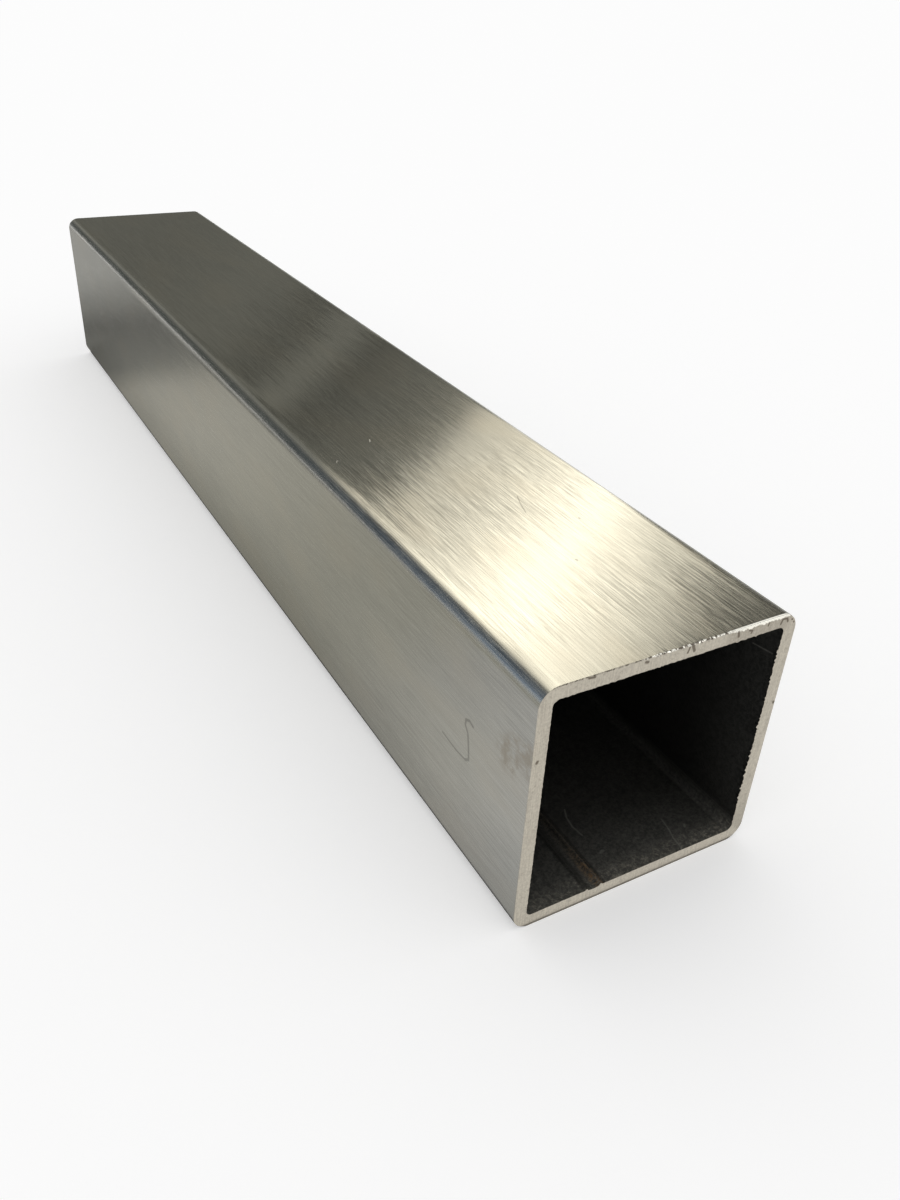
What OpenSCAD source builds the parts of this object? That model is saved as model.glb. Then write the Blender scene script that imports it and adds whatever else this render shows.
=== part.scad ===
// Square steel tube, cold formed from strip, seam welded and sawn square at both ends.
// It lies along Y on one wall. The origin is on the floor, below the middle of its length,
// and the seam runs inside the wall that the tube lies on.

/* [Section] */
// Outside width of the section, flat to flat
side = 40; // [30:1:60]
// Thickness of the wall
wall = 2; // [1.5:0.1:3]
// Radius of the four outside corners
outer_r = 2.8; // [2.5:0.1:5]
// Radius of the four inside corners
inner_r = 1; // [0.6:0.1:2]

/* [Length] */
// Length between the two sawn ends
tube_l = 250; // [50:10:1000]

/* [Weld seam] */
// Place of the seam across its wall, from the middle of the wall
seam_x = -6.9; // [-8:0.1:8]
// Width of the track where the inside bead was cut back
track_w = 2.4; // [1.5:0.1:4]
// Depth of that track below the inside face
track_d = 0.2; // [0.1:0.05:0.4]
// Width of the ridge left along each side of the track
ridge_w = 0.5; // [0.4:0.1:0.8]
// Height of those ridges above the inside face
ridge_h = 0.2; // [0.1:0.05:0.2]

/* [Hidden] */

inside = side - 2 * wall;
track_r = arc_radius(track_w, track_d);
ridge_r = arc_radius(ridge_w, ridge_h);
$fn = 64;

// Radius of the arc that rises rise over a chord
function arc_radius(chord, rise) = (chord * chord / 4 + rise * rise) / (2 * rise);

// Square of width w with corners of radius r, centred
module rounded_square(w, r) {
    square([w, w - 2 * r], center = true);
    square([w - 2 * r, w], center = true);
    for (sx = [-1, 1], sy = [-1, 1])
        translate([sx * (w / 2 - r), sy * (w / 2 - r)]) circle(r);
}

// Ridge that stands ridge_h above the inside face, with its foot sunk in the wall
module seam_ridge() {
    translate([0, ridge_h - ridge_r]) circle(ridge_r);
}

// Shallow round-bottomed track, track_d deep where it is deepest
module seam_track() {
    translate([0, track_r - track_d]) circle(track_r, $fn = 128);
}

// Cross-section of the tube, with the seam on the inside of the lower wall
module section() {
    difference() {
        rounded_square(side, outer_r);
        rounded_square(inside, inner_r);
        translate([seam_x, -inside / 2]) seam_track();
    }
    for (s = [-1, 1])
        translate([seam_x + s * track_w / 2, -inside / 2]) seam_ridge();
}

module square_tube() {
    color("#a9a8a1")
        translate([0, 0, side / 2])
            rotate([90, 0, 0])
                linear_extrude(height = tube_l, center = true) section();
}

square_tube();
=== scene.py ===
# Looks of a short length of brushed stainless square tube, sawn off at both ends
import math
import bpy
import bmesh
from mathutils import Matrix, Vector, noise


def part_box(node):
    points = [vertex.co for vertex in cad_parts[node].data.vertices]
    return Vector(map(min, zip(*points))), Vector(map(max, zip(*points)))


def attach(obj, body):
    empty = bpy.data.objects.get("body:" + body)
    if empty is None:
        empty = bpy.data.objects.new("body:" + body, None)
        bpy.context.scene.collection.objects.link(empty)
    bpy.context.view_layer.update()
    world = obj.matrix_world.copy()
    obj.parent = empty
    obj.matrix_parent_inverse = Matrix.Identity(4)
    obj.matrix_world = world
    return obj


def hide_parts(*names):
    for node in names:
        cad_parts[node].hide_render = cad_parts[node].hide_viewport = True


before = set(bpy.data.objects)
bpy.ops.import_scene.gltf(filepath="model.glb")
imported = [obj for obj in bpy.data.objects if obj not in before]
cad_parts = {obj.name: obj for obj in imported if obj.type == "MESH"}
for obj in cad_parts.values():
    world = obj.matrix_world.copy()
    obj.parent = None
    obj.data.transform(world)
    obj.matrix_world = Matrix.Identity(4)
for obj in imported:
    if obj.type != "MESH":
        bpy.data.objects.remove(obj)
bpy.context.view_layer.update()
mm = 0.001
nodeName = "square_tube"
tubeLow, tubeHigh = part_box(nodeName)
tubeSide = (tubeHigh.x - tubeLow.x) / mm
tubeLength = (tubeHigh.y - tubeLow.y) / mm
tubeHalf = tubeSide / 2
print("frame loaded, tube is", round(tubeSide, 2), "mm square and", round(tubeLength, 2), "mm long")


# The camera stands where the photo was taken from, to the left of the sawn end and above it
camera = {
    "place": (-75.46, -72.11, 88.34),   # mm from the middle of the near end
    "right": (0.8729, -0.4856, 0.0471),
    "down": (-0.2243, -0.4852, -0.8452),
    "focalPixels": 1013.0,              # in a picture pictureHeight pixels high
    "pictureHeight": 1200.0,
    "sensorWidth": 36.0,
    "clip": (0.005, 50.0),              # metres
}


def addCamera(c):
    data = bpy.data.cameras.new("photoCamera")
    data.sensor_width = c["sensorWidth"]
    data.lens = data.sensor_width * c["focalPixels"] / c["pictureHeight"]
    data.clip_start, data.clip_end = c["clip"]
    cam = bpy.data.objects.new("photoCamera", data)
    bpy.context.scene.collection.objects.link(cam)
    right = Vector(c["right"]).normalized()
    up = -Vector(c["down"])
    up = (up - right * up.dot(right)).normalized()
    turn = Matrix((right, up, right.cross(up))).transposed().to_4x4()
    nearEnd = Vector((0, -tubeLength / 2, tubeHalf))
    cam.matrix_world = Matrix.Translation((nearEnd + Vector(c["place"])) * mm) @ turn
    bpy.context.scene.camera = cam


addCamera(camera)
print("camera placed")


# The tube, worked in mm round its own middle and set on the floor in metres as the last step
tube = {
    "wall": 2.0,
    "outerRadius": 2.8,
    "innerRadius": 1.0,
    "cornerSteps": 14,
    "wallSteps": 200,                       # strips across each flat wall
    "seamWallSteps": 300,                   # finer strips on the wall with the seam
    "endRings": 6,                          # rings across the sawn face
    "rimEase": 0.24,                        # rounding of the outer rim where the saw left its burr
    "rimSteps": 3,
    "rimReach": 1.5,                        # the burr bends the skin this many times the rounding back
    "cutInset": 0.2,                        # the sawn face lies this far inside the box, for its burr
    "edgeStations": (0.6, 1.2, 3.0),        # cuts round the tube near each end
    "sharpAngle": math.radians(32),
    "seamX": -6.9,
    "trackWidth": 2.4,
    "trackDepth": 0.2,
    "ridgeWidth": 0.5,
    "ridgeHeight": 0.2,
    "boreTeeth": {"top": 0.15, "right": 0.6, "left": 0.06, "bottom": 0.14},   # torn inside edge
    "teethLift": 0.1,                       # more of the edge is torn than not
    "teethEnd": (15.0, 17.5),               # mm from the middle of a wall, where the teeth die out
    "teethAlong": 0.04,
    "sawnRipple": 0.012,
    "burr": {                               # along the upper rim, by mm to the right as seen from outside
        "band": 1.0,                        # mm below the top that carry it
        "rolled": (7.5, 9.5),               # a steady bright roll starts here
        "rolledFull": (9.0, 15.0),          # and reaches its full width here
        "rolledShare": (0.7, 1.0),          # of the rim's rounding
        "torn": (-6.0, -4.0),               # broken chips start here
        "tornShare": (0.15, 0.75),
        "chipPitch": 0.42,
        "chipEdge": (-0.1, 0.15),
        "dentPitch": 0.5,
        "cleanShare": 0.08,                 # where the saw cut clean
        "cleanHeight": 0.02,
        "rolledHeight": 0.08,
        "chipHeight": 0.14,
        "dentDepth": 0.12,
    },
}
outerSkin, innerSkin, sawnFace = 0, 1, 2    # material slots of the tube
nearly = 0.02                               # mm, slack when a place on the section is looked up


def smoothStep(low, high, x):
    t = min(max((x - low) / (high - low), 0.0), 1.0)
    return t * t * (3 - 2 * t)


def between(low, high, share):
    return low + (high - low) * share


def arcRise(x, width, height):
    # height of a round-backed rib of that width above the face, at x from its middle
    if abs(x) >= width / 2:
        return 0.0
    radius = (width * width / 4 + height * height) / (2 * height)
    return math.sqrt(radius * radius - x * x) - (radius - height)


def seamRise(x, t):
    fromSeam = x - t["seamX"]
    ridges = arcRise(abs(fromSeam) - t["trackWidth"] / 2, t["ridgeWidth"], t["ridgeHeight"])
    return ridges if ridges > 0 else -arcRise(fromSeam, t["trackWidth"], t["trackDepth"])


def depthInside(x, z, t):
    # mm in from the outer skin, across the section
    flat = tubeHalf - t["outerRadius"]
    dx = abs(x) - flat
    dz = abs(z) - flat
    return t["outerRadius"] - math.hypot(max(dx, 0), max(dz, 0)) - min(max(dx, dz), 0)


def addShell(bm, half, radius, length, steps):
    # square shell with rounded long edges, open at both ends
    before = set(bm.faces)
    verts = bmesh.ops.create_cube(bm, size=1.0)["verts"]
    bmesh.ops.scale(bm, vec=(2 * half, length, 2 * half), verts=verts)
    caps = [f for f in bm.faces if f not in before and abs(f.calc_center_median().y) > length * 0.4]
    bmesh.ops.delete(bm, geom=caps, context="FACES_ONLY")
    corners = set(verts)
    edges = [e for e in bm.edges if e.verts[0] in corners and e.calc_length() > length * 0.9]
    bmesh.ops.bevel(bm, geom=edges, offset=radius, offset_type="OFFSET", segments=steps,
                    profile=0.5, affect="EDGES", material=-1)
    return [f for f in bm.faces if f not in before]


def wobble(x, z, pitch, seed):
    return noise.noise(Vector((x / pitch, z / pitch, seed)))


def burrAt(toRight, x, z, side, b):
    # share of the rim's rounding, height of the burr and depth of its dents
    if z < tubeHalf - b["band"]:
        return b["cleanShare"], b["cleanHeight"], 0.0
    rolled = smoothStep(*b["rolled"], toRight)
    torn = smoothStep(*b["torn"], toRight) * (1 - rolled)
    chips = smoothStep(*b["chipEdge"], wobble(x, z, b["chipPitch"], 5.0 * side))
    dents = max(wobble(x, z, b["dentPitch"], 8.0 * side), 0.0)
    share = rolled * between(*b["rolledShare"], smoothStep(*b["rolledFull"], toRight))
    share += torn * between(*b["tornShare"], chips)
    rounding = between(b["cleanShare"], 1.0, share)
    height = b["cleanHeight"] + b["rolledHeight"] * rolled + b["chipHeight"] * torn * chips
    return rounding, height, b["dentDepth"] * torn * dents


def toothAt(x, z, side):
    # torn edge of mixed pitches, round 0
    waves = ((0.4, 1.7, 5.0 * side), (0.8, 0.6, side), (0.7, 0.4, 7.0))
    return sum(height * wobble(x, z, pitch, seed) for height, pitch, seed in waves)


def shapeEnd(v, t, cutY):
    # the saw leaves a burr outside and a ragged edge inside, both a fraction of a millimetre
    x, y, z = v.co
    side = 1 if y > 0 else -1
    toRight = -side * x
    depth = depthInside(x, z, t)
    fromCut = cutY - abs(y)
    reach = t["rimReach"] * t["rimEase"]
    across = abs(x) > abs(z)
    inward = Vector((-math.copysign(1, x), 0, 0)) if across else Vector((0, 0, -math.copysign(1, z)))
    if depth < t["rimEase"] + nearly and depth + fromCut < reach:
        rounding, height, dent = burrAt(toRight, x, z, side, t["burr"])
        nearCut = 1 - fromCut / reach
        v.co += inward * (depth * (rounding - 1) + dent * nearCut)
        v.co.y += side * min(fromCut * (1 - rounding) + height * nearCut, fromCut + t["cutInset"])
    elif fromCut < nearly / 2 and depth > t["wall"] - nearly:
        tooth = toothAt(x, z, side)
        if across:
            place = "right" if toRight > 0 else "left"
        else:
            place = "top" if z > 0 else "bottom"
        flat = 1 - smoothStep(*t["teethEnd"], min(abs(x), abs(z)))   # none in the rounded corners
        v.co += inward * max(tooth + t["teethLift"], 0.0) * t["boreTeeth"][place] * flat
        v.co.y += side * t["teethAlong"] * tooth
    elif fromCut < nearly / 2:
        v.co.y += side * t["sawnRipple"] * wobble(x, z, 0.9, 2.0 * side)


def endVerts(e, side):
    return all(v.co.y * side > 0 for v in e.verts)


def skins(e):
    return {f.material_index for f in e.link_faces}


def buildTube(t):
    bodyLength = tubeLength - 2 * t["cutInset"]
    bm = bmesh.new()
    for f in addShell(bm, tubeHalf, t["outerRadius"], bodyLength, t["cornerSteps"]):
        f.material_index = outerSkin
    bore = addShell(bm, tubeHalf - t["wall"], t["innerRadius"], bodyLength, t["cornerSteps"])
    bmesh.ops.reverse_faces(bm, faces=bore)
    for f in bore:
        f.material_index = innerSkin
    for side in (-1, 1):
        rims = [e for e in bm.edges if e.is_boundary and endVerts(e, side)]
        for f in bmesh.ops.bridge_loops(bm, edges=rims)["faces"]:
            f.material_index = sawnFace
    spokes = [e for e in bm.edges if skins(e) == {sawnFace}]
    bmesh.ops.subdivide_edges(bm, edges=spokes, cuts=t["endRings"] - 1, use_grid_fill=True)
    for station in t["edgeStations"]:
        for side in (-1, 1):
            geom = list(bm.verts) + list(bm.edges) + list(bm.faces)
            at = Vector((0, side * (bodyLength / 2 - station), 0))
            bmesh.ops.bisect_plane(bm, geom=geom, plane_co=at, plane_no=Vector((0, 1, 0)))
    outerRim = [e for e in bm.edges if skins(e) == {outerSkin, sawnFace}]
    bmesh.ops.bevel(bm, geom=outerRim, offset=t["rimEase"], offset_type="OFFSET", segments=t["rimSteps"],
                    profile=0.5, affect="EDGES", material=sawnFace)
    acrossWalls = [e for e in bm.edges if e.calc_length() > tubeHalf
                   and abs(e.verts[0].co.y - e.verts[1].co.y) < nearly / 2]
    lower = [e for e in acrossWalls if (e.verts[0].co.z + e.verts[1].co.z) / 2 < -tubeHalf * 0.8]
    rest = [e for e in acrossWalls if e not in set(lower)]
    bmesh.ops.subdivide_edges(bm, edges=rest, cuts=t["wallSteps"] - 1, use_grid_fill=True)
    bmesh.ops.subdivide_edges(bm, edges=lower, cuts=t["seamWallSteps"] - 1, use_grid_fill=True)
    cutY = bodyLength / 2
    for v in bm.verts:
        x, y, z = v.co
        if z < t["wall"] - tubeHalf + nearly / 2 and abs(x) < tubeHalf - t["wall"] - t["innerRadius"]:
            v.co.z += seamRise(x, t) * smoothStep(0.0, t["wall"], depthInside(x, z, t))
        if abs(y) > cutY - t["rimReach"] * t["rimEase"]:
            shapeEnd(v, t, cutY)
    bmesh.ops.recalc_face_normals(bm, faces=bm.faces)
    for f in bm.faces:
        f.smooth = True
    for e in bm.edges:
        e.smooth = len(skins(e)) == 1 and e.calc_face_angle(0.0) < t["sharpAngle"]
    bmesh.ops.translate(bm, vec=(0, 0, tubeHalf), verts=bm.verts)
    bmesh.ops.scale(bm, vec=(mm, mm, mm), verts=bm.verts)
    mesh = bpy.data.meshes.new("squareTube")
    bm.to_mesh(mesh)
    bm.free()
    piece = bpy.data.objects.new("squareTube", mesh)
    bpy.context.scene.collection.objects.link(piece)
    return piece


squareTube = buildTube(tube)
print("tube built,", len(squareTube.data.polygons), "faces")


# Small helpers for node trees: a setting is a name, and an input is a value or a socket to link
def put(tree, kind, settings=None, inputs=None):
    node = tree.nodes.new("ShaderNode" + kind)
    for name, value in (settings or {}).items():
        setattr(node, name, value)
    for name, value in (inputs or {}).items():
        if isinstance(value, bpy.types.NodeSocket):
            tree.links.new(value, node.inputs[name])
        else:
            node.inputs[name].default_value = value
    return node


def calc(tree, operation, a, b=0.0, clamp=False):
    return put(tree, "Math", {"operation": operation, "use_clamp": clamp}, {0: a, 1: b}).outputs[0]


def product(tree, first, *others):
    for value in others:
        first = calc(tree, "MULTIPLY", first, value)
    return first


def vectorCalc(tree, operation, a, b=(0, 0, 0), output="Vector"):
    return put(tree, "VectorMath", {"operation": operation}, {0: a, 1: b}).outputs[output]


def scaled(tree, vector, factor):
    return put(tree, "VectorMath", {"operation": "SCALE"}, {0: vector, "Scale": factor}).outputs["Vector"]


def remap(tree, value, fromLow, fromHigh, toLow=0.0, toHigh=1.0):
    ends = {"From Min": fromLow, "From Max": fromHigh, "To Min": toLow, "To Max": toHigh}
    return put(tree, "MapRange", {"interpolation_type": "SMOOTHSTEP"}, {"Value": value, **ends}).outputs[0]


def ramp(tree, value, low, high, stops):
    # colours along a value that runs from low to high; a stop is a value and a colour or a grey
    share = calc(tree, "DIVIDE", calc(tree, "SUBTRACT", value, low), high - low)
    node = put(tree, "ValToRGB", None, {"Fac": share})
    elements = node.color_ramp.elements
    while len(elements) < len(stops):
        elements.new(1.0)
    for element, (at, colour) in zip(elements, stops):
        element.position = (at - low) / (high - low)
        element.color = colour if isinstance(colour, tuple) else (colour, colour, colour, 1)
    return node.outputs["Color"]


def blendColour(tree, share, a, b, mode="MIX"):
    return put(tree, "Mix", {"data_type": "RGBA", "blend_type": mode}, {0: share, 6: a, 7: b}).outputs[2]


def noiseValue(tree, vector, detail=2.0, rough=0.5):
    sockets = {"Vector": vector, "Scale": 1.0, "Detail": detail, "Roughness": rough}
    return put(tree, "TexNoise", None, sockets).outputs["Fac"]


def newGroup(name, inputs, outputs):
    tree = bpy.data.node_groups.new(name, "ShaderNodeTree")
    for label, kind, value in inputs:
        socket = tree.interface.new_socket(label, in_out="INPUT", socket_type=kind)
        if value is not None:
            socket.default_value = value
    for label, kind in outputs:
        tree.interface.new_socket(label, in_out="OUTPUT", socket_type=kind)
    return tree, tree.nodes.new("NodeGroupInput").outputs, tree.nodes.new("NodeGroupOutput").inputs


# Lengthwise grain, in mm: lines along Y, Line Width apart, short ones of Line Length among long ones
grainShape = {
    "longLines": (0.9, 0.2, 0.9),      # how much closer together and shorter than the short lines
    "leanLines": (1.0, 0.35, 1.0),
    "coarseLines": (0.3, 0.25, 0.3),
    "patches": (0.1, 0.045, 0.1),
    "sway": 0.05,                      # mm that lines drift sideways
    "swayScale": 0.05,
}


def makeGrainGroup(g):
    tree, given, out = newGroup("lengthwiseGrain", [
        ("Vector", "NodeSocketVector", None),
        ("Line Width", "NodeSocketFloat", 0.2),
        ("Line Length", "NodeSocketFloat", 3.0),
    ], [("Fine", "NodeSocketFloat"), ("Coarse", "NodeSocketFloat"), ("Patches", "NodeSocketFloat"),
        ("Lean", "NodeSocketFloat")])
    perWidth = calc(tree, "DIVIDE", 1.0, given["Line Width"])
    perLength = calc(tree, "DIVIDE", 1.0, given["Line Length"])
    factors = put(tree, "CombineXYZ", None, {0: perWidth, 1: perLength, 2: perWidth}).outputs[0]
    driftAt = {"Vector": given["Vector"], "Scale": g["swayScale"], "Detail": 0.0}
    drift = put(tree, "TexNoise", None, driftAt).outputs["Color"]
    sway = vectorCalc(tree, "MULTIPLY", drift, (g["sway"], 0.0, g["sway"]))
    fineAt = vectorCalc(tree, "MULTIPLY", vectorCalc(tree, "ADD", given["Vector"], sway), factors)
    longAt = vectorCalc(tree, "MULTIPLY", fineAt, g["longLines"])
    longAt = vectorCalc(tree, "ADD", longAt, (11.0, 3.0, 47.0))
    leanAt = vectorCalc(tree, "MULTIPLY", fineAt, g["leanLines"])
    leanAt = vectorCalc(tree, "ADD", leanAt, (31.0, 17.0, 5.0))
    coarseAt = vectorCalc(tree, "MULTIPLY", fineAt, g["coarseLines"])
    patchAt = vectorCalc(tree, "MULTIPLY", given["Vector"], g["patches"])
    shortLines = noiseValue(tree, fineAt, 1.5, 0.6)
    longLines = noiseValue(tree, longAt, 1.5, 0.6)
    tree.links.new(calc(tree, "MULTIPLY", calc(tree, "ADD", shortLines, longLines), 0.5), out["Fine"])
    tree.links.new(noiseValue(tree, leanAt, 1.0, 0.6), out["Lean"])
    tree.links.new(noiseValue(tree, coarseAt, 2.0, 0.6), out["Coarse"])
    tree.links.new(noiseValue(tree, patchAt, 3.0, 0.5), out["Patches"])
    return tree


# Line mark: 1 on the line from From to To, fading to 0 at Width from it, all in mm
def makeMarkGroup():
    tree, given, out = newGroup("lineMark", [
        ("Vector", "NodeSocketVector", None),
        ("From", "NodeSocketVector", (0, 0, 0)),
        ("To", "NodeSocketVector", (0, 0, 1)),
        ("Width", "NodeSocketFloat", 0.1),
    ], [("Mask", "NodeSocketFloat")])
    here = vectorCalc(tree, "SUBTRACT", given["Vector"], given["From"])
    line = vectorCalc(tree, "SUBTRACT", given["To"], given["From"])
    alongLine = vectorCalc(tree, "DOT_PRODUCT", here, line, "Value")
    squaredLength = vectorCalc(tree, "DOT_PRODUCT", line, line, "Value")
    share = calc(tree, "DIVIDE", alongLine, squaredLength, clamp=True)
    offLine = vectorCalc(tree, "SUBTRACT", here, scaled(tree, line, share))
    away = vectorCalc(tree, "LENGTH", offLine, output="Value")
    mask = remap(tree, away, calc(tree, "MULTIPLY", given["Width"], 0.35), given["Width"], 1.0, 0.0)
    tree.links.new(mask, out["Mask"])
    return tree


grainGroup = makeGrainGroup(grainShape)
markGroup = makeMarkGroup()


def marks(tree, inMm, lines):
    # one mask of several scratches, each a width and the points that it runs through
    total = None
    for width, points in lines:
        for start, end in zip(points, points[1:]):
            sockets = {"Vector": inMm, "From": start, "To": end, "Width": width}
            mask = put(tree, "Group", {"node_tree": markGroup}, sockets).outputs["Mask"]
            total = mask if total is None else calc(tree, "MAXIMUM", total, mask)
    return total


def startMaterial(name):
    # positions on the tube in mm from the middle of its near end
    material = bpy.data.materials.new(name)
    material.use_nodes = True
    tree = material.node_tree
    place = put(tree, "TexCoord").outputs["Object"]
    sockets = {"Vector": place, "Scale": (1 / mm,) * 3, "Location": (0, tubeLength / 2, -tubeHalf)}
    inMm = put(tree, "Mapping", None, sockets).outputs[0]
    return material, tree, tree.nodes["Principled BSDF"], inMm


def grainOf(tree, inMm, lineWidth, lineLength):
    sockets = {"Vector": inMm, "Line Width": lineWidth, "Line Length": lineLength}
    return put(tree, "Group", {"node_tree": grainGroup}, sockets).outputs


brushed = {
    "bright": (0.73, 0.72, 0.675, 1),
    "dull": (0.405, 0.397, 0.368, 1),
    "tarnish": (0.56, 0.525, 0.46, 1),
    "tarnishFrom": (0.42, 0.7),
    "tarnishShare": 0.42,
    "roughness": 0.17,
    "anisotropic": 1.0,
    "lineWidth": 0.105,
    "lineLength": 3.2,
    "lean": 0.12,                  # how far single lines tip the surface along the tube
    "leanAcross": 0.104,           # and across it
    "fineContrast": (0.37, 0.63),
    "fineShare": 0.44,
    "coarseContrast": (0.3, 0.7),
    "coarseShare": 0.15,
    "roughnessSpread": 0.08,
    "cloudShade": (0.955, 1.035),
    # depth of the lines by mm from the near end, on the top face and on the others
    "topLines": (
        (0, 0.7), (5, 0.8), (12, 2.1), (23, 1.2), (32, 1.3), (42, 2.4), (57, 2.2), (66, 0.6), (120, 0.5),
        (200, 0.9),
    ),
    "sideLines": ((0, 1.0), (50, 0.8), (110, 0.45), (250, 0.45)),
    "topLean": ((0, 0.3), (10, 0.75), (44, 0.9), (57, 0.12), (80, 0.12), (150, 0.6)),
    "spotColour": (0.1, 0.095, 0.085, 1),
    "spotShare": 0.45,
    "nickColour": (0.9, 0.89, 0.86, 1),
    "nickRoughness": 0.35,
    "darkSpots": (
        (0.22, ((0.95, 22.8, 20), (0.95, 23.1, 20))),
        (0.2, ((8.5, 32.8, 20), (8.5, 33.1, 20))),
        (0.14, ((2.2, 37.8, 20), (3.0, 40.5, 20), (3.9, 42.8, 20))),
    ),
    "scratches": (
        (0.16, ((-7.9, 70.2, 20), (-7.6, 71.0, 20))),
        (0.16, ((-16.3, 64.8, 20), (-15.9, 65.4, 20))),
    ),
    "squiggle": (
        (0.3, ((-20, 13.4, 5.2), (-20, 14.3, 5.5), (-20, 15.2, 5.1), (-20, 15.3, 4.2), (-20, 14.5, 3.2),
               (-20, 14.1, 1.0), (-20, 13.9, -0.8), (-20, 14.8, -1.4))),
        (0.2, ((-20, 14.8, -1.4), (-20, 17.0, -1.6), (-20, 21.0, -1.3))),
    ),
    "smudge": (3.6, ((-20, 1.0, 9.0), (-20, 3.0, 8.6), (-20, 5.0, 6.8))),
    "smudgeColour": (0.44, 0.4, 0.34, 1),
    "smudgeScale": 0.6,
}


def makeBrushed(b):
    material, tree, shader, inMm = startMaterial("brushedStainless")
    grain = grainOf(tree, inMm, b["lineWidth"], b["lineLength"])
    fine = remap(tree, grain["Fine"], *b["fineContrast"])
    coarse = remap(tree, grain["Coarse"], *b["coarseContrast"])
    along, up = put(tree, "SeparateXYZ", None, {0: inMm}).outputs[1:]
    onTop = remap(tree, up, tubeHalf - 2.5, tubeHalf - 0.5)
    topDepth = ramp(tree, along, 0, tubeLength, b["topLines"])
    lineDepth = remap(tree, onTop, 0.0, 1.0, ramp(tree, along, 0, tubeLength, b["sideLines"]), topDepth)
    leanDepth = remap(tree, onTop, 0.0, 1.0, 1.0, ramp(tree, along, 0, tubeLength, b["topLean"]))
    fineLines = product(tree, calc(tree, "SUBTRACT", fine, 0.5), lineDepth, b["fineShare"])
    coarseLines = product(tree, calc(tree, "SUBTRACT", coarse, 0.5), b["coarseShare"])
    lines = calc(tree, "ADD", calc(tree, "ADD", fineLines, coarseLines), 0.5)
    colour = blendColour(tree, lines, b["dull"], b["bright"])
    clouds = remap(tree, grain["Patches"], 0.3, 0.7, *b["cloudShade"])
    stained = remap(tree, grain["Patches"], *b["tarnishFrom"], 0.0, b["tarnishShare"])
    colour = blendColour(tree, stained, colour, b["tarnish"])
    colour = scaled(tree, colour, clouds)
    blotches = remap(tree, noiseValue(tree, scaled(tree, inMm, b["smudgeScale"]), 3.0, 0.6), 0.35, 0.65)
    smudge = product(tree, marks(tree, inMm, (b["smudge"],)), blotches)
    colour = blendColour(tree, smudge, colour, b["smudgeColour"])
    dark = product(tree, marks(tree, inMm, b["darkSpots"] + b["squiggle"]), b["spotShare"])
    colour = blendColour(tree, dark, colour, b["spotColour"])
    nicks = marks(tree, inMm, b["scratches"])
    colour = blendColour(tree, nicks, colour, b["nickColour"])
    tree.links.new(colour, shader.inputs["Base Color"])
    smoothest = b["roughness"] - b["roughnessSpread"] / 2
    roughness = calc(tree, "ADD", smoothest, product(tree, fine, b["roughnessSpread"]))
    roughness = calc(tree, "ADD", roughness, product(tree, nicks, b["nickRoughness"]))
    tree.links.new(roughness, shader.inputs["Roughness"])
    shader.inputs["Metallic"].default_value = 1.0
    shader.inputs["Anisotropic"].default_value = b["anisotropic"]
    normal = put(tree, "NewGeometry").outputs["Normal"]
    aroundTube = vectorCalc(tree, "CROSS_PRODUCT", normal, (0, 1, 0))
    lean = product(tree, calc(tree, "SUBTRACT", grain["Lean"], 0.5), leanDepth, b["lean"])
    tipped = vectorCalc(tree, "ADD", normal, put(tree, "CombineXYZ", None, {1: lean}).outputs[0])
    lean = product(tree, calc(tree, "SUBTRACT", grain["Fine"], 0.5), b["leanAcross"])
    tipped = vectorCalc(tree, "ADD", tipped, scaled(tree, aroundTube, lean))
    tree.links.new(vectorCalc(tree, "NORMALIZE", tipped), shader.inputs["Normal"])
    tree.links.new(aroundTube, shader.inputs["Tangent"])
    return material


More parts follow.
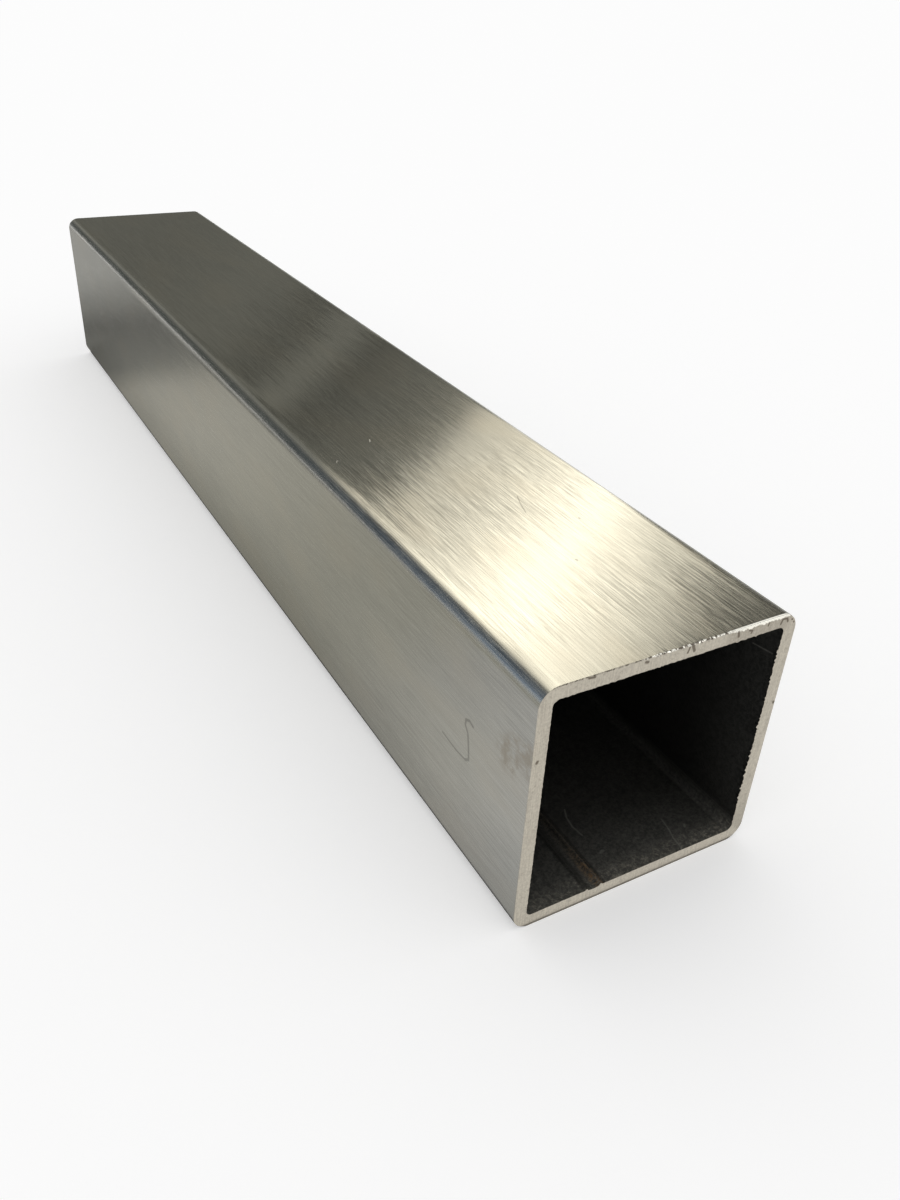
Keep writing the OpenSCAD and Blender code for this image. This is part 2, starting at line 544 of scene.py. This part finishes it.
bore = {
    "dark": (0.04, 0.04, 0.036, 1),
    "light": (0.14, 0.138, 0.12, 1),
    "deep": 0.46,                  # painted shade: share of that colour left deep inside, away from the lit mouth
    "middle": 0.5,                 # painted lightening added to it towards the middle of the tube
    "middleFrom": (35.0, 100.0),
    # mm in from each mouth over which the painted shade deepens
    "paintedShadeLength": 14.0,
    "metallic": 0.45,
    "roughness": 0.5,
    "lineWidth": 0.5,
    "lineLength": 6.0,
    "gritScale": 2.2,
    "gritContrast": (0.38, 0.68),
    "gritDepth": 0.00003,          # metres
    "floorBelow": (-16.5, -17.5),  # mm from the tube's middle
    "sideWallShade": 0.34,             # painted shade: the side walls are darker than the floor
    "sideWallsFrom": (16.3, 17.7),
    "sideWallsAbove": (-16.9, -15.7),
    "dust": (0.34, 0.315, 0.26, 1),
    "dustLength": 4.0,             # mm in from the near end where pale dust lies on the floor
    "dustScale": 1.7,
    "heatTint": (0.25, 0.155, 0.075, 1),
    "tintFrom": -6.6,              # mm across, the strip beside the seam that the weld has coloured
    "tintTo": -5.3,
    "tintBlur": 0.4,
    "tintLength": 5.0,             # mm in from the near end that still shows brown
    "ridgeShadeColour": (0.015, 0.014, 0.012, 1),
    "ridgeShadeShare": 0.6,
    # light colour of the scratches, also used for the painted corner highlight
    "nickColour": (0.42, 0.41, 0.37, 1),
    "nickShare": 0.2,
    # painted shade: dark lines at the feet of the seam's ridges
    "ridgeShadeLines": (
        (0.9, ((-7.8, 0, -18), (-7.8, 250, -18))),
        (0.4, ((-5.1, 0, -18), (-5.1, 250, -18))),
    ),
    "scratches": (
        (0.2, ((-2.6, 9.0, -18), (-2.9, 11.0, -18), (-2.6, 13.0, -18), (-1.9, 14.5, -18))),
        (0.35, ((-2.2, 5.0, -18), (-1.7, 5.2, -18))),
        (0.17, ((8.9, 0.6, -18), (9.1, 2.6, -18), (9.6, 4.1, -18), (10.0, 6.4, -18))),
        (0.3, ((12.1, 3.7, -18), (12.3, 3.9, -18))),
        (0.15, ((18, 1.0, 13.2), (18, 4.5, 12.7))),
    ),
    # a thin light line on the right wall, and a painted highlight along the lower right corner where it
    # mirrors the light
    "wallLineAndCornerHighlight": (
        (0.2, ((18, 0, -16.0), (18, 60, -16.0))),
        (0.4, ((17.2, 0, -17.95), (17.2, 45, -17.95))),
    ),
    "wallLineAndCornerFade": (2.0, 32.0, 0.07, 0.01),   # mm in from the near end, and their share there
}


def makeBore(b):
    material, tree, shader, inMm = startMaterial("darkBore")
    grain = grainOf(tree, inMm, b["lineWidth"], b["lineLength"])
    grit = noiseValue(tree, scaled(tree, inMm, b["gritScale"]), 4.0, 0.75)
    grit = remap(tree, grit, *b["gritContrast"])
    both = calc(tree, "ADD", product(tree, grain["Coarse"], 0.3), product(tree, grit, 0.7))
    colour = blendColour(tree, both, b["dark"], b["light"])
    across, along, up = put(tree, "SeparateXYZ", None, {0: inMm}).outputs
    fromMouth = calc(tree, "MINIMUM", along, calc(tree, "SUBTRACT", tubeLength, along))
    # painted shade: the bore darkens with depth from each mouth, and lightens again towards the middle
    shade = remap(tree, fromMouth, 1.0, b["paintedShadeLength"], 1.0, b["deep"])
    shade = calc(tree, "ADD", shade, remap(tree, fromMouth, *b["middleFrom"], 0.0, b["middle"]))
    colour = scaled(tree, colour, shade)
    # painted shade on the side walls, which get less light than the floor
    fromAxis = calc(tree, "ABSOLUTE", across)
    beside = remap(tree, fromAxis, *b["sideWallsFrom"])
    beside = product(tree, beside, remap(tree, up, *b["sideWallsAbove"]))
    colour = scaled(tree, colour, remap(tree, beside, 0.0, 1.0, 1.0, b["sideWallShade"]))
    low = remap(tree, up, *b["floorBelow"])
    specks = remap(tree, noiseValue(tree, scaled(tree, inMm, b["dustScale"]), 4.0, 0.8), 0.46, 0.66)
    dusty = remap(tree, along, 0.3, b["dustLength"], 0.75, 0.0)
    dusty = product(tree, dusty, low, calc(tree, "ADD", specks, 0.12))
    colour = blendColour(tree, dusty, colour, b["dust"])
    # painted shade along the seam's ridges
    ridgeShadeLines = product(tree, marks(tree, inMm, b["ridgeShadeLines"]), b["ridgeShadeShare"])
    colour = blendColour(tree, ridgeShadeLines, colour, b["ridgeShadeColour"])
    blur = b["tintBlur"]
    started = remap(tree, across, b["tintFrom"] - blur, b["tintFrom"] + blur)
    ended = remap(tree, across, b["tintTo"] - blur, b["tintTo"] + blur)
    nearMouth = remap(tree, along, b["tintLength"] * 0.3, b["tintLength"] * 2, 1.0, 0.15)
    tint = product(tree, started, calc(tree, "SUBTRACT", 1.0, ended), low, nearMouth, grit)
    colour = blendColour(tree, tint, colour, b["heatTint"])
    # real scratches and the painted corner highlight both take the light nick colour
    nicks = product(tree, marks(tree, inMm, b["scratches"]), b["nickShare"])
    wallLineAndCornerMask = product(tree, marks(tree, inMm, b["wallLineAndCornerHighlight"]), remap(tree, along, *b["wallLineAndCornerFade"]))
    colour = blendColour(tree, calc(tree, "MAXIMUM", nicks, wallLineAndCornerMask), colour, b["nickColour"])
    tree.links.new(colour, shader.inputs["Base Color"])
    roughness = calc(tree, "ADD", b["roughness"], product(tree, grit, 0.1))
    tree.links.new(roughness, shader.inputs["Roughness"])
    bump = put(tree, "Bump", None, {"Height": both, "Distance": b["gritDepth"]})
    tree.links.new(bump.outputs[0], shader.inputs["Normal"])
    shader.inputs["Metallic"].default_value = b["metallic"]
    return material


sawn = {
    "dark": (0.43, 0.393, 0.333, 1),
    "light": (0.585, 0.54, 0.452, 1),
    # the burr's fresh metal, raised to near white and warm as a painted glint
    "burr": (1.0, 0.975, 0.88, 1),
    "pits": (0.22, 0.19, 0.15, 1),
    # painted shade in the gaps between the burr's chips
    "chipShade": (0.1, 0.085, 0.065, 1),
    "speck": (0.07, 0.048, 0.028, 1),
    "contrast": (0.36, 0.64),
    "rim": 0.28,                   # mm of the top rim that look torn
    "rimRight": 0.6,               # and further to the right
    "rimTurn": (7.0, 11.0),
    "rimRagged": (1.4, 0.5, 0.2),
    "chipScale": (2.1, 0.8, 0.8),
    "chipEdge": (0.46, 0.54),
    "chipsFrom": (-6.0, -3.5),
    "roughness": 0.42,
    "burrPolish": 0.2,
    "scuff": (2.4, ((9.5, 0, 18.7), (17.0, 0, 18.7))),
    "scuffShare": 0.45,
    "sawLineWidth": 0.12,
    "sawLineLength": 5.0,
    "mottleScale": 3.5,
    "pitScale": 1.9,
    "pitShare": 0.3,
    "reliefDepth": 0.00002,        # metres
    "speckShare": 0.75,
    "specks": (
        (0.3, ((-19.3, 0, 9.2), (-19.2, 0, 9.4))),
        (0.28, ((19.8, 0, 5.0), (19.7, 0, 5.2))),
        (0.25, ((-13.2, 0, 19.7), (-12.4, 0, 19.6))),
        (0.3, ((-4.9, 0, 19.4), (-4.6, 0, 19.3))),
        (0.22, ((1.8, 0, 19.5), (1.6, 0, 18.8))),
        (0.34, ((2.3, 0, 19.6), (2.65, 0, 18.8))),
        (0.28, ((9.7, 0, 19.5), (9.85, 0, 18.8))),
        (0.2, ((11.6, 0, 19.2), (12.1, 0, 19.0), (12.0, 0, 18.7))),
        (0.18, ((14.9, 0, 19.4), (14.8, 0, 19.0))),
        (0.22, ((17.1, 0, 18.6), (17.3, 0, 19.3), (18.1, 0, 19.2), (18.3, 0, 18.7))),
        (0.22, ((19.0, 0, 18.9), (19.1, 0, 18.8))),
        (0.2, ((19.4, 0, 18.4), (19.5, 0, 18.3))),
    ),
}


def makeSawn(s):
    material, tree, shader, inMm = startMaterial("sawnSteel")
    perLine = (1 / s["sawLineWidth"], 0.2, 1 / s["sawLineLength"])
    sawLines = noiseValue(tree, vectorCalc(tree, "MULTIPLY", inMm, perLine), 3.0, 0.6)
    mottle = noiseValue(tree, scaled(tree, inMm, s["mottleScale"]), 3.0, 0.6)
    both = calc(tree, "ADD", product(tree, sawLines, 0.55), product(tree, mottle, 0.45))
    colour = blendColour(tree, remap(tree, both, *s["contrast"]), s["dark"], s["light"])
    pits = noiseValue(tree, scaled(tree, inMm, s["pitScale"]))
    pits = remap(tree, pits, 0.6, 0.7, 0.0, s["pitShare"])
    colour = blendColour(tree, pits, colour, s["pits"])
    across, along, up = put(tree, "SeparateXYZ", None, {0: inMm}).outputs
    farEnd = calc(tree, "GREATER_THAN", along, tubeLength / 2)
    toRight = product(tree, across, calc(tree, "SUBTRACT", 1.0, product(tree, farEnd, 2.0)))
    inPlane = vectorCalc(tree, "MULTIPLY", inMm, (1, 0, 1))
    scuffed = product(tree, marks(tree, inPlane, (s["scuff"],)), remap(tree, mottle, 0.35, 0.6))
    colour = blendColour(tree, product(tree, scuffed, s["scuffShare"]), colour, s["pits"])
    ragged = noiseValue(tree, vectorCalc(tree, "MULTIPLY", inMm, s["rimRagged"]), 3.0, 0.7)
    rimHere = remap(tree, toRight, *s["rimTurn"], s["rim"], s["rimRight"])
    rimHere = product(tree, rimHere, remap(tree, ragged, 0.35, 0.65, 0.75, 1.2))
    rimLow = calc(tree, "SUBTRACT", tubeHalf, rimHere)
    onRim = remap(tree, up, rimLow, calc(tree, "ADD", rimLow, s["rim"] / 2))
    chipNoise = noiseValue(tree, vectorCalc(tree, "MULTIPLY", inMm, s["chipScale"]), 2.0, 0.6)
    chips = remap(tree, chipNoise, *s["chipEdge"])
    chips = product(tree, chips, remap(tree, toRight, *s["chipsFrom"]))
    bright = calc(tree, "MAXIMUM", chips, remap(tree, toRight, *tube["burr"]["rolled"]))
    # painted shade where the rim has no bright chip
    chipGapShade = remap(tree, chipNoise, 0.42, 0.56, 0.9, 0.15)
    chipGapShade = product(tree, chipGapShade, onRim, calc(tree, "SUBTRACT", 1.0, bright))
    colour = blendColour(tree, chipGapShade, colour, s["chipShade"])
    # painted glint: the burr takes a near-white warm colour, and is also polished smoother
    burrWithPaintedGlint = product(tree, onRim, bright)
    colour = blendColour(tree, burrWithPaintedGlint, colour, s["burr"])
    nearOnly = calc(tree, "SUBTRACT", s["speckShare"], farEnd, clamp=True)
    specks = product(tree, marks(tree, inPlane, s["specks"]), nearOnly)
    colour = blendColour(tree, specks, colour, s["speck"])
    tree.links.new(colour, shader.inputs["Base Color"])
    roughness = calc(tree, "SUBTRACT", s["roughness"], product(tree, burrWithPaintedGlint, s["burrPolish"]))
    tree.links.new(roughness, shader.inputs["Roughness"])
    bump = put(tree, "Bump", None, {"Height": both, "Distance": s["reliefDepth"]})
    tree.links.new(bump.outputs[0], shader.inputs["Normal"])
    shader.inputs["Metallic"].default_value = 1.0
    return material


for material in (makeBrushed(brushed), makeBore(bore), makeSawn(sawn)):
    squareTube.data.materials.append(material)
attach(squareTube, "root")
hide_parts(nodeName)
print("materials set")


# Studio: a pale floor and white surround, and a grey tent with a soft warm panel that only reflections see
studio = {
    "floorSize": 24.0,
    "floorColour": (0.82, 0.82, 0.82, 1),
    "floorLift": 0.32,
    "worldLight": 0.8,
    "backdrop": 0.976,             # as bright as the lit floor, so that no horizon shows
}


def backgroundRay(tree):
    # 1 where the camera, a reflection or a clear material looks at the surround
    rays = put(tree, "LightPath").outputs
    seen = calc(tree, "ADD", rays["Is Camera Ray"], rays["Is Glossy Ray"], clamp=True)
    return calc(tree, "ADD", seen, rays["Is Transmission Ray"], clamp=True)


def stageObject(name, bm, material, place=(0, 0, 0)):
    mesh = bpy.data.meshes.new(name)
    bm.to_mesh(mesh)
    bm.free()
    mesh.materials.append(material)
    obj = bpy.data.objects.new(name, mesh)
    obj.location = place
    bpy.context.scene.collection.objects.link(obj)
    return obj


def emptyMaterial(name):
    material = bpy.data.materials.new(name)
    material.use_nodes = True
    material.node_tree.nodes.clear()
    return material, material.node_tree


def makeFloor(s):
    bm = bmesh.new()
    bmesh.ops.create_grid(bm, x_segments=1, y_segments=1, size=s["floorSize"] / 2)
    material, tree = emptyMaterial("paleFloor")
    matt = put(tree, "BsdfDiffuse", None, {"Color": s["floorColour"]}).outputs[0]
    lift = put(tree, "Emission", None, {"Strength": product(tree, backgroundRay(tree), s["floorLift"])})
    both = put(tree, "AddShader", None, {0: matt, 1: lift.outputs[0]}).outputs[0]
    put(tree, "OutputMaterial", None, {"Surface": both})
    stageObject("paleFloor", bm, material)


def makeWorld(s):
    world = bpy.data.worlds.new("whiteSurround")
    bpy.context.scene.world = world
    world.use_nodes = True
    tree = world.node_tree
    tree.nodes.clear()
    strength = remap(tree, backgroundRay(tree), 0.0, 1.0, s["worldLight"], s["backdrop"])
    light = put(tree, "Background", None, {"Color": (1, 1, 1, 1), "Strength": strength})
    put(tree, "OutputWorld", None, {"Surface": light.outputs[0]})


def onlyReflected(obj):
    obj.visible_camera = False
    obj.visible_diffuse = False
    obj.visible_shadow = False
    obj.visible_transmission = False


# Light in the tent by two angles in degrees: from straight ahead along the tube, and round from its right
tent = {
    "radius": 8.0,
    "ahead": (
        (0, 0.17), (19, 0.14), (24.5, 0.18), (27.3, 0.07), (28, 0.25), (29.1, 0.25), (29.9, 0.08),
        (32, 0.145), (34, 0.165), (36.6, 0.22), (37.6, 0.9), (40, 1.0), (42.5, 1.45), (46, 2.3),
        (48.5, 1.7), (51.5, 1.3), (53.8, 0.69), (55, 0.1), (90, 0.08),
    ),
    "overhead": (
        (60, 0.1), (66, 0.15), (76, 1.0), (84, 0.95), (100, 0.4), (150, 0.4), (165, 0.2), (180, 0.15),
    ),
    "glint": ((100, 0.4), (107, 1.0), (113, 1.6), (122, 1.6), (130, 0.6), (150, 0.4)),   # seen in the burr
    "glintFrom": (98.0, 104.0),
    "glintAcross": (-0.1, 0.3),        # to the right of the tube only
    "overheadFrom": (58.0, 70.0),
    "warm": (1.0, 0.945, 0.79, 1),
    "cool": (1.0, 0.995, 0.86, 1),
    "skewFar": 0.06,                   # degrees that the panel's far edge leans per degree round the tube
    "skewNear": -0.26,                 # and its near edge
    "skewTurn": (44.0, 50.0),          # from ahead, where the one lean turns into the other
    "skewLimit": 30.0,
    "panelMiddle": 42.0,               # round the tube, where the panel has its middle, start and end
    "panelStart": (-25.0, 5.0),
    "panelEnd": (102.0, 121.0),
    "dark": (0.19, 0.19, 0.175, 1),
    "skyBlue": (0.105, 0.132, 0.168, 1),
    "skyBlueFrom": (120.0, 140.0),
    "skyDull": (0.095, 0.104, 0.1, 1),
    "skyDullUntil": (26.0, 42.0),      # degrees from ahead where the dull sky turns blue
    "strip": (0.3, 0.3, 0.27, 1),      # faint light far ahead that draws the rounded edge
    "stripRound": (96.0, 106.0, 114.0, 126.0),
    "stripUntil": (34.0, 44.0),
    "window": (0.34, 0.425, 0.545, 1),
    "windowFrom": (158.0, 172.0),
    "windowAhead": (38.0, 50.0),
}


def makeTent(t):
    bm = bmesh.new()
    bmesh.ops.create_uvsphere(bm, u_segments=48, v_segments=24, radius=t["radius"])
    below = [v for v in bm.verts if v.co.z < -0.1]
    bmesh.ops.delete(bm, geom=below, context="VERTS")
    material, tree = emptyMaterial("greyTent")
    direction = vectorCalc(tree, "NORMALIZE", put(tree, "TexCoord").outputs["Object"])
    x, y, z = put(tree, "SeparateXYZ", None, {0: direction}).outputs
    fromAhead = calc(tree, "DEGREES", calc(tree, "ARCCOSINE", y))
    roundTube = calc(tree, "DEGREES", calc(tree, "ARCTAN2", z, x))
    fromMiddle = calc(tree, "SUBTRACT", roundTube, t["panelMiddle"])
    farSkew = product(tree, fromMiddle, t["skewFar"])
    nearSkew = product(tree, calc(tree, "MINIMUM", fromMiddle, t["skewLimit"]), t["skewNear"])
    skew = remap(tree, fromAhead, *t["skewTurn"], farSkew, nearSkew)
    grey = ramp(tree, calc(tree, "ADD", fromAhead, skew), 0, 90, t["ahead"])
    tint = blendColour(tree, remap(tree, grey, 0.15, 0.8), t["cool"], t["warm"])
    panel = blendColour(tree, 1.0, grey, tint, "MULTIPLY")
    inPanel = remap(tree, roundTube, *t["panelStart"])
    inPanel = product(tree, inPanel, remap(tree, roundTube, *t["panelEnd"], 1.0, 0.0))
    light = blendColour(tree, inPanel, t["dark"], panel)
    sky = blendColour(tree, remap(tree, fromAhead, *t["skyDullUntil"]), t["skyDull"], t["skyBlue"])
    light = blendColour(tree, remap(tree, roundTube, *t["skyBlueFrom"]), light, sky)
    inWindow = remap(tree, roundTube, *t["windowFrom"])
    inWindow = product(tree, inWindow, remap(tree, fromAhead, *t["windowAhead"]))
    light = blendColour(tree, inWindow, light, t["window"])
    stripStart, stripFull, stripLess, stripEnd = t["stripRound"]
    inStrip = remap(tree, roundTube, stripStart, stripFull)
    inStrip = product(tree, inStrip, remap(tree, roundTube, stripLess, stripEnd, 1.0, 0.0))
    inStrip = product(tree, inStrip, remap(tree, fromAhead, *t["stripUntil"], 1.0, 0.0))
    light = blendColour(tree, inStrip, light, t["strip"], "LIGHTEN")
    overhead = ramp(tree, fromAhead, 60, 180, t["overhead"])
    glint = ramp(tree, fromAhead, 60, 180, t["glint"])
    glint = blendColour(tree, remap(tree, x, *t["glintAcross"]), overhead, glint)
    overhead = blendColour(tree, remap(tree, fromAhead, *t["glintFrom"]), overhead, glint)
    light = blendColour(tree, remap(tree, fromAhead, *t["overheadFrom"]), light, overhead)
    put(tree, "OutputMaterial", None, {"Surface": put(tree, "Emission", None, {"Color": light}).outputs[0]})
    nearTop = (0, -tubeLength / 2 * mm, tubeSide * mm)
    onlyReflected(stageObject("greyTent", bm, material, nearTop))


# Grey card just above the floor that only the tube's walls mirror, lit in bands by mm from the near end
floorCard = {
    "edge": 20.5,
    "reach": 1500.0,
    "height": 0.1,
    "along": (-100, 400),
    "left": (
        (-60, (0.95, 0.95, 0.94, 1)), (-22, (0.8, 0.8, 0.79, 1)), (-6, (0.56, 0.575, 0.58, 1)),
        (18, (0.58, 0.58, 0.56, 1)), (34, (0.555, 0.55, 0.51, 1)), (53, (0.47, 0.465, 0.425, 1)),
        (72, (0.425, 0.42, 0.37, 1)), (92, (0.4, 0.395, 0.345, 1)), (115, (0.42, 0.413, 0.36, 1)),
        (140, (0.46, 0.452, 0.395, 1)), (176, (0.49, 0.48, 0.425, 1)), (212, (0.46, 0.45, 0.4, 1)),
        (232, (0.23, 0.23, 0.21, 1)), (275, (0.14, 0.14, 0.13, 1)), (340, (0.4, 0.4, 0.38, 1)),
    ),
    "right": (
        (-60, (0.95, 0.95, 0.94, 1)), (-5, (0.92, 0.92, 0.91, 1)), (60, (0.45, 0.445, 0.41, 1)),
        (130, (0.5, 0.495, 0.455, 1)), (200, (0.42, 0.415, 0.385, 1)), (250, (0.7, 0.7, 0.69, 1)),
        (310, (0.84, 0.84, 0.83, 1)),
    ),
    "contactWidth": 12.0,          # mm beside the walls that are darker
    "contactShade": 0.68,
    "underShade": 0.88,            # and how much darker it is below the tube
    "cool": (0.985, 1.0, 1.07, 1),
    "coolFrom": (-34.0, -46.0),    # mm across and along, where the left side turns cooler
    "coolUntil": (52.0, 78.0),
}


def makeFloorCard(c):
    bm = bmesh.new()
    bmesh.ops.create_grid(bm, x_segments=1, y_segments=1, size=c["reach"] / 2 * mm)
    material, tree = emptyMaterial("floorCard")
    place = scaled(tree, put(tree, "TexCoord").outputs["Object"], 1 / mm)
    x, y = put(tree, "SeparateXYZ", None, {0: place}).outputs[:2]
    fromNearEnd = calc(tree, "ADD", y, tubeLength / 2)
    left = ramp(tree, fromNearEnd, *c["along"], c["left"])
    right = ramp(tree, fromNearEnd, *c["along"], c["right"])
    cool = remap(tree, x, *c["coolFrom"])
    cool = product(tree, cool, remap(tree, fromNearEnd, *c["coolUntil"], 1.0, 0.0))
    left = blendColour(tree, cool, left, c["cool"], "MULTIPLY")
    light = blendColour(tree, calc(tree, "GREATER_THAN", x, -c["edge"]), left, right)
    fromAxis = calc(tree, "ABSOLUTE", x)
    beyondEnds = calc(tree, "ADD", calc(tree, "ABSOLUTE", y), c["edge"] - tubeLength / 2)
    farthest = calc(tree, "MAXIMUM", fromAxis, beyondEnds)
    contact = remap(tree, farthest, c["edge"], c["edge"] + c["contactWidth"], c["contactShade"], 1.0)
    inFront = calc(tree, "LESS_THAN", fromAxis, c["edge"])
    inFront = product(tree, inFront, calc(tree, "GREATER_THAN", beyondEnds, c["edge"]))
    under = calc(tree, "LESS_THAN", farthest, c["edge"])
    contact = calc(tree, "MAXIMUM", contact, inFront)
    contact = product(tree, contact, calc(tree, "SUBTRACT", 1.0, product(tree, under, c["underShade"])))
    glow = put(tree, "Emission", None, {"Color": light, "Strength": contact})
    put(tree, "OutputMaterial", None, {"Surface": glow.outputs[0]})
    onlyReflected(stageObject("floorCard", bm, material, (0, 0, c["height"] * mm)))


makeFloor(studio)
makeWorld(studio)
makeTent(tent)
makeFloorCard(floorCard)
bpy.context.scene.view_settings.view_transform = "Standard"
print("studio set")
